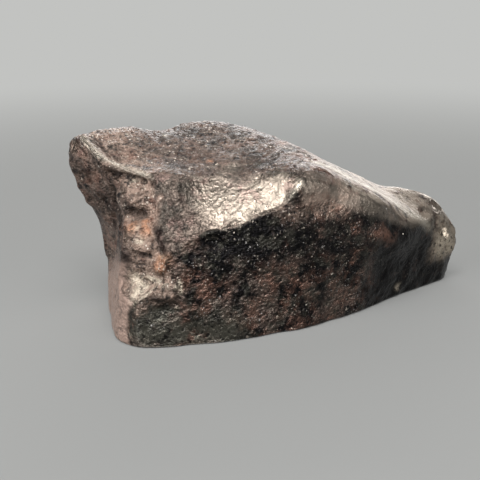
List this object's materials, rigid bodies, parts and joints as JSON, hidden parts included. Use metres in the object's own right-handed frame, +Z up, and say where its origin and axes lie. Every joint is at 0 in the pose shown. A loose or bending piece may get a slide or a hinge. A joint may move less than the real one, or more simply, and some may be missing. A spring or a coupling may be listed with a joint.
{
  "type": "chondrite meteorite",
  "caption": "Broken wedge-shaped chondrite stone with a blunt jutting end, a low rounded nose, a steep dark front wall and a glossy dark brown fusion crust, resting on its flat side",
  "frame": {"origin": "middle of the bounding box, on the flat resting face", "axes": "+X along the stone, from the blunt jutting end to the low nose; the long steep front wall faces -Y; +Z up from the resting face"},
  "size_m": [0.0635, 0.0302, 0.0288],
  "materials": {
    "crust": "glossy dark brown to black fusion crust with rust-brown patches and small bright metal grains"
  },
  "bodies": {
    "root": {"stone": "crust"}
  },
  "joints": []
}
